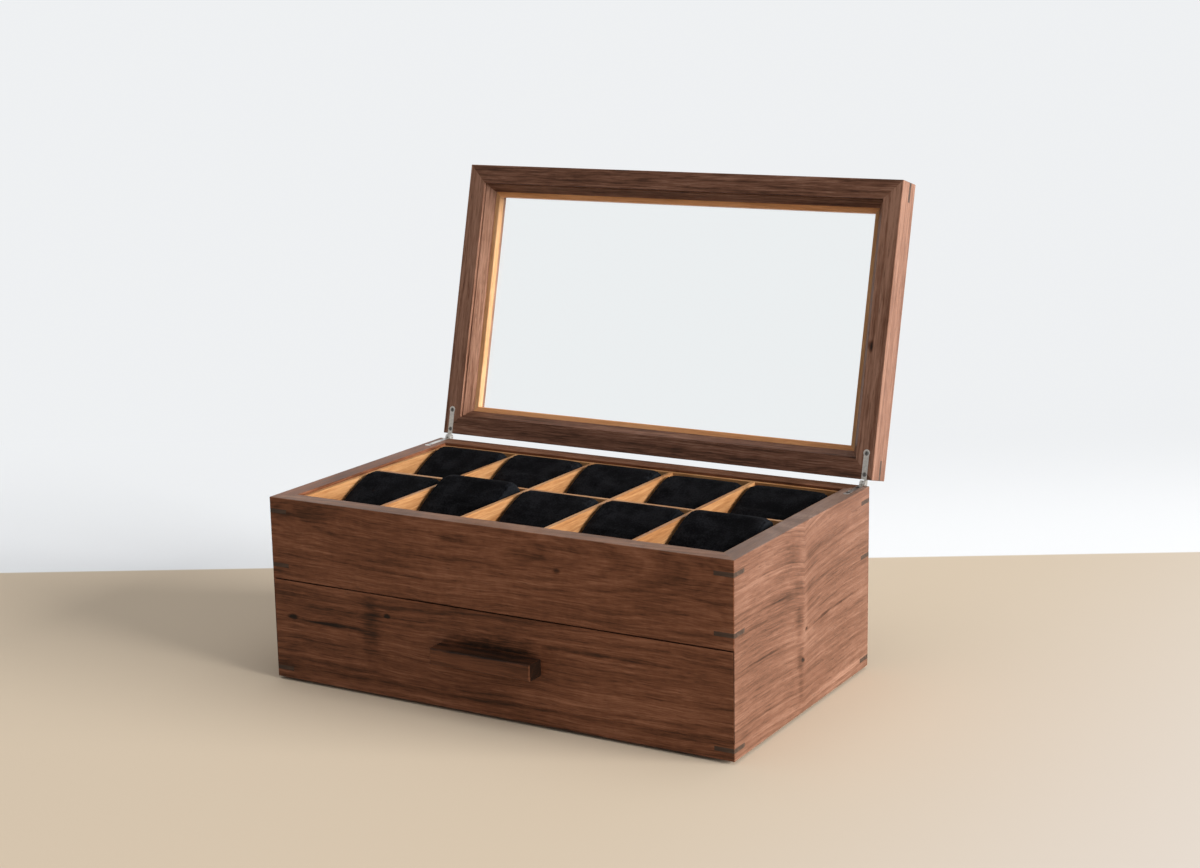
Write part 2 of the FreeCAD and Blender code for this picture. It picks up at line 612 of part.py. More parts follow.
def make_drawer():
    height = f"({DRAWER_TOP} - {DRAWER_BOTTOM})"
    groove = "drawer_bottom_rise"
    section = [
        ("0", "0"),
        ("wall_thick", "0"),
        ("wall_thick", groove),
        ("wall_thick - drawer_groove", groove),
        ("wall_thick - drawer_groove", f"{groove} + drawer_bottom_thick"),
        ("wall_thick", f"{groove} + drawer_bottom_thick"),
        ("wall_thick", height),
        ("0", height),
    ]
    width = "(case_width - 2 * drawer_end_gap)"
    front = mitred_member("drawer_front", FRONT, width, "case_depth", DRAWER_BOTTOM, section)
    for side in (-1, 1):
        start = (f"{side} * pull_screw_spacing / 2", f"-{HALF_DEPTH}", PULL_Z)
        rod(front, "Subtractive", "pull_screw_radius", "y", start, "wall_thick")

    for name, side in (("left", -1), ("right", 1)):
        board = new_body(f"drawer_side_{name}")
        ends = sorted((f"{side} * {DRAWER_OUTSIDE}", f"{side} * {DRAWER_INSIDE}"), key=size)
        deep = (f"-{INSIDE_Y}", DRAWER_BACK_Y)
        block(board, "Additive", ends, deep, (DRAWER_BOTTOM, DRAWER_SIDE_TOP))
        slot_ends = (f"{side} * {DRAWER_INSIDE}", f"{side} * ({DRAWER_INSIDE} + drawer_groove)")
        block(board, "Subtractive", sorted(slot_ends, key=size), deep, (DRAWER_FLOOR, DRAWER_FLOOR_TOP))

    back = new_body("drawer_back")
    deep = (f"{DRAWER_BACK_Y} - drawer_side_thick", DRAWER_BACK_Y)
    high = (DRAWER_FLOOR_TOP, DRAWER_SIDE_TOP)
    block(back, "Additive", (f"-{DRAWER_INSIDE}", DRAWER_INSIDE), deep, high)

    floor = new_body("drawer_bottom")
    across = f"({DRAWER_INSIDE} + drawer_groove - panel_gap)"
    deep = (f"panel_gap - {INSIDE_Y} - drawer_groove", DRAWER_BACK_Y)
    block(floor, "Additive", (f"-{across}", across), deep, (DRAWER_FLOOR, DRAWER_FLOOR_TOP))

    lining = new_body("drawer_lining")
    across = f"({DRAWER_INSIDE} - lining_gap)"
    deep = (f"lining_gap - {INSIDE_Y}", f"{DRAWER_BACK_Y} - drawer_side_thick - lining_gap")
    high = (DRAWER_FLOOR_TOP, f"{DRAWER_FLOOR_TOP} + lining_thick")
    block(lining, "Additive", (f"-{across}", across), deep, high)

    pull = new_body("drawer_pull")
    face = f"(-{HALF_DEPTH})"
    outer = f"({face} - pull_depth)"
    low, top = f"({PULL_Z} - pull_height / 2)", f"({PULL_Z} + pull_height / 2)"
    profile = [
        (face, low),
        (face, top),
        (f"{outer} + pull_ease", top),
        (outer, f"{top} - pull_ease"),
        (outer, f"{low} + pull_ease"),
        (f"{outer} + pull_ease", low),
    ]
    pad(pull, "YZ_Plane", "-pull_width / 2", "pull_width", profile)
    half = "(pull_width / 2)"
    corner = [
        (f"{half} - pull_ease", outer),
        (f"{half} + pull_ease", f"{outer} + 2 * pull_ease"),
        (f"{half} + pull_ease", outer),
    ]
    pocket(pull, low, "pull_height", corner, mirrored(corner, -1))
    for side in (-1, 1):
        start = (f"{side} * pull_screw_spacing / 2", f"{face} - pull_screw_depth", PULL_Z)
        rod(pull, "Subtractive", "pull_screw_radius", "y", start, "pull_screw_depth")

    screws = new_body("pull_screws")
    for side in (-1, 1):
        across = f"{side} * pull_screw_spacing / 2"
        tip = (across, f"{face} - pull_screw_depth", PULL_Z)
        rod(screws, "Additive", "pull_screw_radius", "y", tip, "pull_screw_depth + wall_thick")
        head = (across, f"-{INSIDE_Y}", PULL_Z)
        rod(screws, "Additive", "pull_head_radius", "y", head, "pull_head_thick")


# Pillows


def pillow_outline(x, scale, centre_offset, end_radius, half_thick):
    """A four-centred oval across the pillow: two end arcs and two broad arcs, all tangent."""
    offset = centre_offset * scale
    small = end_radius * scale
    half = half_thick * scale
    large = (offset**2 + half**2 - small**2) / (2 * (half - small))
    reach = large - small
    touch_y = offset + small * offset / reach
    touch_z = small * (large - half) / reach
    points = [(touch_y, touch_z), (0, half), (-touch_y, touch_z), (-offset - small, 0)]
    points += [(-touch_y, -touch_z), (0, -half), (touch_y, -touch_z), (offset + small, 0)]
    places = [FreeCAD.Vector(x, y, z) for y, z in points + points[:1]]
    arcs = [Part.Arc(*places[i : i + 3]).toShape() for i in range(0, 8, 2)]
    return Part.Wire(arcs)


def make_pillows():
    """Ten pillows that lean back in their cells. An even pillow fills its cell's depth but for the
    space in front of it, and rises a little over the rim; the others are the same pillow, settled
    at another slope."""
    slope = math.radians(size("pillow_angle"))
    gap = size("pillow_gap")
    half_y = (size(f"{CELL_DEPTH} - pillow_front_space") - gap) / 2
    half_z = (size(f"{RIM} + pillow_rise - {TRAY_TOP}") - gap) / 2
    offset = (half_y - half_z) / (math.cos(slope) - math.sin(slope))
    radius = half_z - offset * math.sin(slope)
    thick = radius + size("pillow_swell")
    end = size(f"({CELL_PITCH} - divider_thick) / 2 - pillow_side_gap")
    seam = end - size("pillow_cap")
    seam_scale, cap_scale = size("pillow_seam_scale"), size("pillow_cap_scale")
    between = (1 + seam_scale) / 2
    shoulder = (2 * seam_scale + cap_scale) / 3
    draw = seam * size("pillow_draw_share")
    stations = [(seam / 2, 1), (draw, between), (seam, seam_scale)]
    stations += [((seam + end) / 2, shoulder), (end, cap_scale)]
    stations = [(-x, scale) for x, scale in reversed(stations)] + [(0, 1)] + stations
    outlines = [pillow_outline(x, scale, offset, radius, thick) for x, scale in stations]
    form = Part.makeLoft(outlines, True, False)

    slopes = {
        "front_2": "pillow_angle_high",
        "front_5": "pillow_angle_raised",
        "back_4": "pillow_angle_low",
        "back_5": "pillow_angle_low",
    }
    count = int(size("cell_count"))
    pitch = size(CELL_PITCH)
    behind = {"front": -size("divider_thick") / 2, "back": size(TRAY_Y)}
    for row, face in behind.items():
        for number in range(1, count + 1):
            turn = math.radians(size(slopes.get(f"{row}_{number}", "pillow_angle")))
            pillow = doc.addObject("Part::Feature", f"pillow_{row}_{number}")
            pillow.Label = f"pillow_{row}_{number}"
            pillow.Shape = form
            place = FreeCAD.Vector(
                (number - (count + 1) / 2) * pitch,
                face - gap - radius - offset * math.cos(turn),
                size(TRAY_TOP) + gap + radius + offset * math.sin(turn),
            )
            tilt = FreeCAD.Rotation(FreeCAD.Vector(1, 0, 0), math.degrees(turn))
            pillow.Placement = FreeCAD.Placement(place, tilt)
            nodes.append(pillow)


make_case()
make_tray()
make_lid()
make_hinges()
make_drawer()
make_pillows()
doc.recompute()

# Nothing is written unless every object is sound

for item in doc.Objects:
    if "Invalid" in item.State or "Error" in item.State:
        raise RuntimeError(f"{item.Name} of {item.getParentGroup()} failed: {item.State}")
for node in nodes:
    if node.Shape.isNull() or not node.Shape.isValid():
        raise RuntimeError(f"{node.Label} has no sound shape")
for node in nodes:
    node.Shape.exportStep(f"parts/{node.Label}.step")
    box = node.Shape.BoundBox
    print(f"{node.Label}: {len(node.Shape.Solids)} solids, {node.Shape.Volume:.0f} mm3, "
          f"x {box.XMin:.1f} {box.XMax:.1f} y {box.YMin:.1f} {box.YMax:.1f} z {box.ZMin:.1f} {box.ZMax:.1f}")
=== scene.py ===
import json
import math

import bpy
import numpy as np
from mathutils import Matrix, Vector


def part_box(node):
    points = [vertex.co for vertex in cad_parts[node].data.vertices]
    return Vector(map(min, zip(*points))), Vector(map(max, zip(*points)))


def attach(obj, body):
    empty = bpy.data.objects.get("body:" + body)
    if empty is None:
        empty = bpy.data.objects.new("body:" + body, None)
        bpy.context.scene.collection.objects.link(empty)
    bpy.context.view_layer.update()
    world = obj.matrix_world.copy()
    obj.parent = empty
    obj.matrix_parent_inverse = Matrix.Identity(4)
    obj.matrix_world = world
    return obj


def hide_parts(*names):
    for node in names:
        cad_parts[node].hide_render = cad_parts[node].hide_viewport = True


# The looks of a watch box: an oiled walnut case with keyed corners, a glazed lid standing open,
# cherry dividers, black suede pillows and a drawer with a bar pull. Metres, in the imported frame:
# X to the right, Y to the hinged back, Z up. Wood figure is worked out in millimetres.

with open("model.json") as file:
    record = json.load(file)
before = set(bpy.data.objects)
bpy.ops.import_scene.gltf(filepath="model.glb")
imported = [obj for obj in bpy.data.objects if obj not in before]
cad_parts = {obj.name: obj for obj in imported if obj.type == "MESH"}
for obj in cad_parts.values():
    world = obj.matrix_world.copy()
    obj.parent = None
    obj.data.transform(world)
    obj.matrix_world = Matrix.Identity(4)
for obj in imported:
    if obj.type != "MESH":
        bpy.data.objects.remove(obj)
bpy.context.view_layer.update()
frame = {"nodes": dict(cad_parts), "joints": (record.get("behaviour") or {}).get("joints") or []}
nodes = frame["nodes"]
scene = bpy.context.scene
joints = {joint["name"]: joint for joint in frame["joints"]}

MM = 0.001
QUARTER_TURN = math.radians(90)
OPEN_ANGLE = math.radians(-joints["lid_hinge"]["range_deg"][0])
LEAN = Matrix.Rotation(-OPEN_ANGLE, 3, "X")


# Node helpers

FLOAT, VECTOR, COLOUR = "NodeSocketFloat", "NodeSocketVector", "NodeSocketColor"
MIDDLE = 0.5


def add(tree, kind, feeds=None, **settings):
    """A node with its settings and with its inputs either linked or set."""
    node = tree.nodes.new(kind)
    for name, value in settings.items():
        setattr(node, name, value)
    for name, value in (feeds or {}).items():
        feed(tree, node.inputs[name], value)
    return node


def feed(tree, socket, value):
    if isinstance(value, bpy.types.NodeSocket):
        tree.links.new(value, socket)
    else:
        socket.default_value = value


def calc(tree, operation, first, second=None, third=None):
    node = tree.nodes.new("ShaderNodeMath")
    node.operation = operation
    for socket, value in zip(node.inputs, (first, second, third)):
        if value is not None:
            feed(tree, socket, value)
    return node.outputs[0]


def vector_calc(tree, operation, first, second=None, output=0):
    feeds = {0: first} if second is None else {0: first, 1: second}
    return add(tree, "ShaderNodeVectorMath", feeds, operation=operation).outputs[output]


def mix(tree, share, first, second, blend="MIX"):
    node = tree.nodes.new("ShaderNodeMix")
    node.data_type = "RGBA"
    node.blend_type = blend
    feed(tree, node.inputs["Factor"], share)
    feed(tree, node.inputs["A"], first)
    feed(tree, node.inputs["B"], second)
    return node.outputs["Result"]


def spread(tree, value, low, high, to_low=0.0, to_high=1.0):
    """Takes low..high of a value smoothly to to_low..to_high and holds it there beyond them."""
    feeds = {"Value": value, "From Min": low, "From Max": high, "To Min": to_low, "To Max": to_high}
    return add(tree, "ShaderNodeMapRange", feeds, interpolation_type="SMOOTHSTEP").outputs["Result"]


def centred(tree, value):
    return calc(tree, "SUBTRACT", value, MIDDLE)


def split_axes(tree, vector):
    return add(tree, "ShaderNodeSeparateXYZ", {"Vector": vector}).outputs


def joined_axes(tree, x, y, z):
    return add(tree, "ShaderNodeCombineXYZ", {"X": x, "Y": y, "Z": z}).outputs[0]


def coordinates(tree, kind):
    return add(tree, "ShaderNodeTexCoord").outputs[kind]


def cloud(tree, place, fineness, seed, detail=2.0, rough=0.5):
    """Noise from 0 to 1 with so many swells per unit of each axis. A seed moves it elsewhere."""
    stretched = vector_calc(tree, "MULTIPLY", place, fineness, output="Vector")
    feeds = {"Vector": stretched, "W": seed, "Scale": 1.0, "Detail": detail, "Roughness": rough}
    return add(tree, "ShaderNodeTexNoise", feeds, noise_dimensions="4D").outputs["Fac"]


def fuzz(tree, fineness, detail=3.0):
    """Even noise from 0 to 1 with so many swells per metre."""
    feeds = {"Vector": coordinates(tree, "Object"), "Scale": fineness, "Detail": detail, "Roughness": 0.6}
    return add(tree, "ShaderNodeTexNoise", feeds).outputs["Fac"]


def relief(tree, height, strength, depth):
    feeds = {"Height": height, "Strength": strength, "Distance": depth}
    return add(tree, "ShaderNodeBump", feeds).outputs["Normal"]


def seen_directly(tree):
    """One for rays that come from the eye, also through the glass, and zero for all others."""
    path = add(tree, "ShaderNodeLightPath").outputs
    return calc(tree, "MAXIMUM", path["Is Camera Ray"], path["Is Transmission Ray"])


def new_group(name, takes, gives):
    tree = bpy.data.node_groups.new(name, "ShaderNodeTree")
    for title, kind, value in takes:
        socket = tree.interface.new_socket(title, in_out="INPUT", socket_type=kind)
        if value is not None:
            socket.default_value = value
    for title, kind in gives:
        tree.interface.new_socket(title, in_out="OUTPUT", socket_type=kind)
    source = tree.nodes.new("NodeGroupInput").outputs
    result = tree.nodes.new("NodeGroupOutput").inputs
    return tree, source, result


def use(tree, group, **feeds):
    """Places a node group. Input names are written with underscores for spaces."""
    node = tree.nodes.new("ShaderNodeGroup")
    node.node_tree = group
    for name, value in feeds.items():
        feed(tree, node.inputs[name.replace("_", " ")], value)
    return node.outputs


def new_material(name):
    material = bpy.data.materials.new(name)
    material.use_nodes = True
    tree = material.node_tree
    return material, tree, tree.nodes["Principled BSDF"]


def set_inputs(shader, values):
    for name, value in values.items():
        shader.inputs[name].default_value = value


def dress(node, material):
    mesh = nodes[node].data
    mesh.materials.clear()
    mesh.materials.append(material)


# Camera, room and light

PHOTO_WIDTH = 1200
FOCAL_PIXELS = 2080.8
SENSOR = 36.0
NEAREST, FARTHEST = 0.01, 100
CAMERA_PLACE = Vector((719.09, -1186.29, 476.01)) * MM
CAMERA_RIGHT = Vector((0.86493, 0.50160, -0.01705))
CAMERA_UP = Vector((-0.09335, 0.19416, 0.97652))
CAMERA_BACK = Vector((0.49313, -0.84303, 0.21476))

# The floor ends in a pale wall behind the box, along a line through ROOM_EDGE
ROOM_EDGE = Vector((-123.6, 250.0, 0)) * MM
ROOM_FACING = Vector((-0.505, 0.863, 0))
FLOOR_HALF = 12.0
FLOOR_COLOUR = (0.632, 0.525, 0.400, 1)
# Painted light: from 0.1 to 0.8 m along X the floor turns paler and greyer, towards the window
FLOOR_PALE = (0.735, 0.700, 0.680, 1)
FLOOR_PALER_ALONG = (0.1, 0.8)
FLOOR_FINISH = {"Roughness": 0.7, "Specular IOR Level": 0.0}
WALL_COLOUR = (0.86, 0.875, 0.89, 1)
WALL_STARTS = (0.0, 0.004)
WALL_GLOWS_BEHIND = (0.02, 0.5)
WALL_GLOWS_AWAY = (2.0, 4.5)
WALL_MIRRORED = (-0.2, 0.5)
FILL_COLOUR = (0.32, 0.325, 0.335, 1)
DIM_COLOUR = (0.44, 0.435, 0.425, 1)

WINDOW = {
    "place": (9.2, 0.60, 2.50),
    "aim": (0, 0, 0.1),
    "size": (6.4, 4.8),
    "power": 2000,
    "colour": (1.0, 0.985, 0.96),
}
CEILING = {
    "place": (0.2, 0.1, 3.4),
    "aim": (0, 0, 0),
    "size": (3.5, 3.5),
    "power": 40,
    "colour": (1.0, 1.0, 1.0),
}


def make_camera():
    lens = bpy.data.cameras.new("photo_view")
    lens.sensor_width = SENSOR
    lens.lens = FOCAL_PIXELS / PHOTO_WIDTH * SENSOR
    lens.clip_start, lens.clip_end = NEAREST, FARTHEST
    camera = bpy.data.objects.new("photo_view", lens)
    turn = Matrix((CAMERA_RIGHT, CAMERA_UP, CAMERA_BACK)).transposed()
    camera.matrix_world = Matrix.Translation(CAMERA_PLACE) @ turn.to_4x4()
    scene.collection.objects.link(camera)
    scene.camera = camera


def make_lamp(name, place, aim, size, power, colour):
    """A soft lamp that gives no glare: polished faces mirror the room instead."""
    lamp = bpy.data.lights.new(name, "AREA")
    lamp.shape = "RECTANGLE"
    lamp.size, lamp.size_y = size
    lamp.energy = power
    lamp.color = colour
    holder = bpy.data.objects.new(name, lamp)
    holder.location = place
    holder.rotation_euler = (Vector(aim) - Vector(place)).to_track_quat("-Z", "Y").to_euler()
    holder.visible_glossy = False
    scene.collection.objects.link(holder)


def make_world():
    """A pale wall to look at, a dimmer room to be lit by, and both in the mirrored faces."""
    world = bpy.data.worlds.new("studio")
    scene.world = world
    world.use_nodes = True
    tree = world.node_tree
    seen = seen_directly(tree)
    ahead = vector_calc(tree, "DOT_PRODUCT", coordinates(tree, "Generated"), ROOM_FACING, "Value")
    mirrored = mix(tree, spread(tree, ahead, *WALL_MIRRORED), DIM_COLOUR, WALL_COLOUR)
    glossy = add(tree, "ShaderNodeLightPath").outputs["Is Glossy Ray"]
    colour = mix(tree, glossy, FILL_COLOUR, mirrored)
    colour = mix(tree, seen, colour, WALL_COLOUR)
    tree.links.new(colour, tree.nodes["Background"].inputs["Color"])


def floor_material():
    material, tree, shader = new_material("pale_floor")
    set_inputs(shader, FLOOR_FINISH)
    place = coordinates(tree, "Object")
    from_edge = vector_calc(tree, "SUBTRACT", place, ROOM_EDGE, "Vector")
    behind = vector_calc(tree, "DOT_PRODUCT", from_edge, ROOM_FACING, "Value")
    across = split_axes(tree, place)["X"]
    # Painted light on the floor: paler and greyer towards the window at +X
    floor_with_painted_light = mix(tree, spread(tree, across, *FLOOR_PALER_ALONG), FLOOR_COLOUR, FLOOR_PALE)
    colour = mix(tree, spread(tree, behind, *WALL_STARTS), floor_with_painted_light, WALL_COLOUR)
    tree.links.new(colour, shader.inputs["Base Color"])
    away = vector_calc(tree, "LENGTH", place, output="Value")
    glows_behind = spread(tree, behind, *WALL_GLOWS_BEHIND)
    glows_away = spread(tree, away, *WALL_GLOWS_AWAY)
    fading = calc(tree, "MAXIMUM", glows_behind, glows_away)
    shown = calc(tree, "MULTIPLY", fading, seen_directly(tree))
    glow = add(tree, "ShaderNodeEmission", {"Color": WALL_COLOUR, "Strength": 1.0})
    blend = add(tree, "ShaderNodeMixShader", {0: shown, 1: shader.outputs[0], 2: glow.outputs[0]})
    tree.links.new(blend.outputs[0], tree.nodes["Material Output"].inputs["Surface"])
    return material


def make_floor():
    mesh = bpy.data.meshes.new("floor")
    corners = [(FLOOR_HALF * x, FLOOR_HALF * y, 0) for x, y in ((-1, -1), (1, -1), (1, 1), (-1, 1))]
    mesh.from_pydata(corners, [], [(0, 1, 2, 3)])
    floor = bpy.data.objects.new("floor", mesh)
    scene.collection.objects.link(floor)
    mesh.materials.append(floor_material())


# Wood. The fineness of each layer is in swells per millimetre along, across and through the board.

SLOW_SWAY = (0.008, 0.022, 0.022)
QUICK_SWAY = (0.045, 0.07, 0.05)
QUICK_SWAY_SHARE = 0.22
RING_BANDS = {"Scale": 1.0, "Detail": 3.0, "Roughness": 0.6}
RIPPLES = (0.22, 0.16, 0.1)
FIBRES = (0.016, 0.50, 0.50)
FLECKS = (0.06, 1.0, 1.0)
PORES = (0.12, 1.5, 1.5)
PORE_EDGES = (0.58, 0.72)
PATCHES = (0.012, 0.045, 0.045)
PATCH_SEED = 7.3

MARK_GRAIN, MARK_GRAIN_SEED, MARK_GRAIN_SHARE = (0.05, 0.6, 0.3), 2.0, 1.1
MARK_PATCHES, MARK_PATCH_SEED, MARK_PATCH_SHARE = (0.12, 0.2, 0.2), 5.0, 0.8
MARK_EDGES = (1.25, 0.1)
MARK_DEPTH = 40.0
DIP_RISES = (-45.0, 30.0)
DIP_SHARES = (0.35, 1.0)
END_EDGES = (0.85, 0.97)
RIM_EDGES = (0.6, 0.95)

RING_SHARE = 0.60
FIBRE_SHARE = 0.90
PATCH_SHARE = 0.75
OIL_SHINE = 0.13
FIBRE_EDGES = (0.3, 0.7)
OILED_ROUGHNESS = (0.38, 0.50)
PORE_HEIGHT = -1.0
FIBRE_HEIGHT = 0.5
WOOD_RELIEF = 0.25
WOOD_DEPTH = 0.0002
END_TONE = -0.20
KEY_END_TONE = -0.05
# Painted sheen: level top edges tinted paler and greyer, standing in for the bright room mirrored in them
RIM_SHEEN_TINT = (1.05, 1.45, 1.75, 1)


def make_figure_group():
    """A sawn board's figure. Place is in millimetres: X along the grain, Y across the face, Z
    through the board. The growth rings are nested about a heart line that lies Heart Depth under
    the face and sinks by Heart Slope along the board, which draws arches where it comes near."""
    takes = [
        ("Place", VECTOR, None),
        ("Seed", FLOAT, 0.0),
        ("Heart Across", FLOAT, 40.0),
        ("Heart Depth", FLOAT, 60.0),
        ("Heart Slope", FLOAT, 0.05),
        ("Ring Width", FLOAT, 6.0),
        ("Wander", FLOAT, 6.0),
        ("Curl", FLOAT, 0.15),
    ]
    gives = [("Rings", FLOAT), ("Fibre", FLOAT), ("Pores", FLOAT), ("Cloud", FLOAT)]
    tree, source, result = new_group("board_figure", takes, gives)
    place, seed = source["Place"], source["Seed"]
    axes = split_axes(tree, place)

    slow = centred(tree, cloud(tree, place, SLOW_SWAY, seed))
    quick = centred(tree, cloud(tree, place, QUICK_SWAY, seed, detail=3))
    sway = calc(tree, "MULTIPLY_ADD", quick, QUICK_SWAY_SHARE, slow)
    across = calc(tree, "MULTIPLY_ADD", sway, source["Wander"], axes["Y"])

    from_heart = calc(tree, "SUBTRACT", across, source["Heart Across"])
    depth = calc(tree, "MULTIPLY_ADD", axes["X"], source["Heart Slope"], source["Heart Depth"])
    depth = calc(tree, "ADD", depth, axes["Z"])
    squares = calc(tree, "ADD", calc(tree, "POWER", from_heart, 2.0), calc(tree, "POWER", depth, 2.0))
    count = calc(tree, "DIVIDE", calc(tree, "SQRT", squares), source["Ring Width"])
    feeds = {"W": calc(tree, "ADD", count, seed), **RING_BANDS}
    bands = add(tree, "ShaderNodeTexNoise", feeds, noise_dimensions="1D").outputs["Fac"]
    ripple = centred(tree, cloud(tree, place, RIPPLES, seed))
    tree.links.new(calc(tree, "MULTIPLY_ADD", ripple, source["Curl"], bands), result["Rings"])

    moved = joined_axes(tree, axes["X"], across, axes["Z"])
    fibres = cloud(tree, moved, FIBRES, seed, detail=5, rough=0.7)
    flecks = centred(tree, cloud(tree, moved, FLECKS, seed, detail=3, rough=0.65))
    tree.links.new(calc(tree, "ADD", flecks, fibres), result["Fibre"])
    pores = cloud(tree, moved, PORES, seed, rough=0.55)
    tree.links.new(spread(tree, pores, *PORE_EDGES), result["Pores"])
    patches = cloud(tree, moved, PATCHES, calc(tree, "ADD", seed, PATCH_SEED), detail=3)
    tree.links.new(patches, result["Cloud"])
    return tree


def make_mark_group():
    """A soft-edged mark in a board, such as a knot, a dark streak or a smoky patch; some marks
    are painted shade or a painted shadow.
    """
    takes = [("Place", VECTOR, None), ("Centre", VECTOR, None), ("Reach", VECTOR, None)]
    tree, source, result = new_group("board_mark", takes, [("Mask", FLOAT)])
    place = source["Place"]
    away = vector_calc(tree, "SUBTRACT", place, source["Centre"])
    away = vector_calc(tree, "DIVIDE", away, source["Reach"])
    size = vector_calc(tree, "LENGTH", away, output="Value")
    grain = centred(tree, cloud(tree, place, MARK_GRAIN, MARK_GRAIN_SEED, detail=3))
    patchy = centred(tree, cloud(tree, place, MARK_PATCHES, MARK_PATCH_SEED))
    size = calc(tree, "MULTIPLY_ADD", grain, MARK_GRAIN_SHARE, size)
    size = calc(tree, "MULTIPLY_ADD", patchy, MARK_PATCH_SHARE, size)
    tree.links.new(spread(tree, size, *MARK_EDGES), result["Mask"])
    return tree


def make_dip_group():
    """Grain that dips into a band across the board, as it does beside a buried branch."""
    takes = [
        ("Place", VECTOR, None),
        ("Band", FLOAT, 0.0),
        ("Dip", FLOAT, 0.0),
        ("Width", FLOAT, 30.0),
    ]
    tree, source, result = new_group("grain_dip", takes, [("Place", VECTOR)])
    axes = split_axes(tree, source["Place"])
    away = calc(tree, "ABSOLUTE", calc(tree, "SUBTRACT", axes["X"], source["Band"]))
    fall = calc(tree, "DIVIDE", away, calc(tree, "MULTIPLY", source["Width"], -1.0))
    dip = calc(tree, "MULTIPLY", calc(tree, "EXPONENT", fall), source["Dip"])
    shift = calc(tree, "MULTIPLY", dip, spread(tree, axes["Y"], *DIP_RISES, *DIP_SHARES))
    lowered = calc(tree, "ADD", axes["Y"], shift)
    tree.links.new(joined_axes(tree, axes["X"], lowered, axes["Z"]), result["Place"])
    return tree


def make_cut_group():
    """Masks of a board's sawn ends, across the grain, and of its level top edge."""
    takes = [("Grain", VECTOR, None)]
    tree, source, result = new_group("cut_faces", takes, [("End", FLOAT), ("Rim", FLOAT)])
    outward = coordinates(tree, "Normal")
    end = calc(tree, "ABSOLUTE", vector_calc(tree, "DOT_PRODUCT", outward, source["Grain"], "Value"))
    tree.links.new(spread(tree, end, *END_EDGES), result["End"])
    tree.links.new(spread(tree, split_axes(tree, outward)["Z"], *RIM_EDGES), result["Rim"])
    return tree


figure_group = make_figure_group()
mark_group = make_mark_group()
dip_group = make_dip_group()
cut_group = make_cut_group()


def board_place(tree, centre, turn):
    """Coordinates in millimetres in a board's own frame, from the object's."""
    feeds = {"Vector": coordinates(tree, "Object"), "Location": centre,
             "Rotation": turn.to_euler(), "Scale": (MM, MM, MM)}
    return add(tree, "ShaderNodeMapping", feeds, vector_type="TEXTURE").outputs["Vector"]


def wood_colour(tree, tone, steps):
    ramp = add(tree, "ShaderNodeValToRGB", {"Fac": tone})
    elements = ramp.color_ramp.elements
    elements[0].position, elements[0].color = steps[0]
    elements[1].position, elements[1].color = steps[-1]
    for position, colour in steps[1:-1]:
        elements.new(position).color = colour
    return ramp.outputs["Color"]


def wood(name, colours, centre, turn, marks=None, dip=None, lift=0.0, contrast=1.0, streaks=1.0,
         pores=0.5, end_tone=END_TONE, rim=0.0, **figure):
    """An oiled board. Each of the marks is (along, across, half length, half width, strength), in
    millimetres from the board's centre; a negative strength darkens, and a few marks are painted
    shade. rim is how far the level top edge takes a painted sheen, a paler and greyer tint that
    stands in for the room mirrored in it. figure holds inputs of the figure group."""
    material, tree, shader = new_material(name)
    shader.inputs["Specular IOR Level"].default_value = OIL_SHINE
    place = board_place(tree, centre, turn)
    if dip:
        place = use(tree, dip_group, Place=place, **dip)["Place"]
    out = use(tree, figure_group, Place=place, **figure)
    rings, fibres, patches = (centred(tree, out[layer]) for layer in ("Rings", "Fibre", "Cloud"))
    tone = calc(tree, "MULTIPLY_ADD", rings, RING_SHARE * contrast, MIDDLE + lift)
    tone = calc(tree, "MULTIPLY_ADD", fibres, FIBRE_SHARE * contrast * streaks, tone)
    tone = calc(tree, "MULTIPLY_ADD", patches, PATCH_SHARE * contrast, tone)
    for along, across, half_length, half_width, strength in (marks or {}).values():
        spot = {"Centre": (along, across, 0), "Reach": (half_length, half_width, MARK_DEPTH)}
        mask = use(tree, mark_group, Place=place, **spot)["Mask"]
        tone = calc(tree, "MULTIPLY_ADD", mask, strength, tone)
    cut = use(tree, cut_group, Grain=turn @ Vector((1, 0, 0)))
    tone = calc(tree, "MULTIPLY_ADD", cut["End"], end_tone, tone)
    in_pores = calc(tree, "MULTIPLY", out["Pores"], pores)
    colour = mix(tree, in_pores, wood_colour(tree, tone, colours["steps"]), colours["pore"])
    # Painted sheen on the level top edge
    if rim:
        colour = mix(tree, calc(tree, "MULTIPLY", cut["Rim"], rim), colour, RIM_SHEEN_TINT, "MULTIPLY")
    tree.links.new(colour, shader.inputs["Base Color"])
    roughness = spread(tree, out["Fibre"], *FIBRE_EDGES, *OILED_ROUGHNESS)
    tree.links.new(roughness, shader.inputs["Roughness"])
    height = calc(tree, "MULTIPLY", out["Fibre"], FIBRE_HEIGHT)
    height = calc(tree, "MULTIPLY_ADD", out["Pores"], PORE_HEIGHT, height)
    tree.links.new(relief(tree, height, WOOD_RELIEF, WOOD_DEPTH), shader.inputs["Normal"])
    return material


# Colours of each wood from its darkest streaks to its lightest, and of its pores

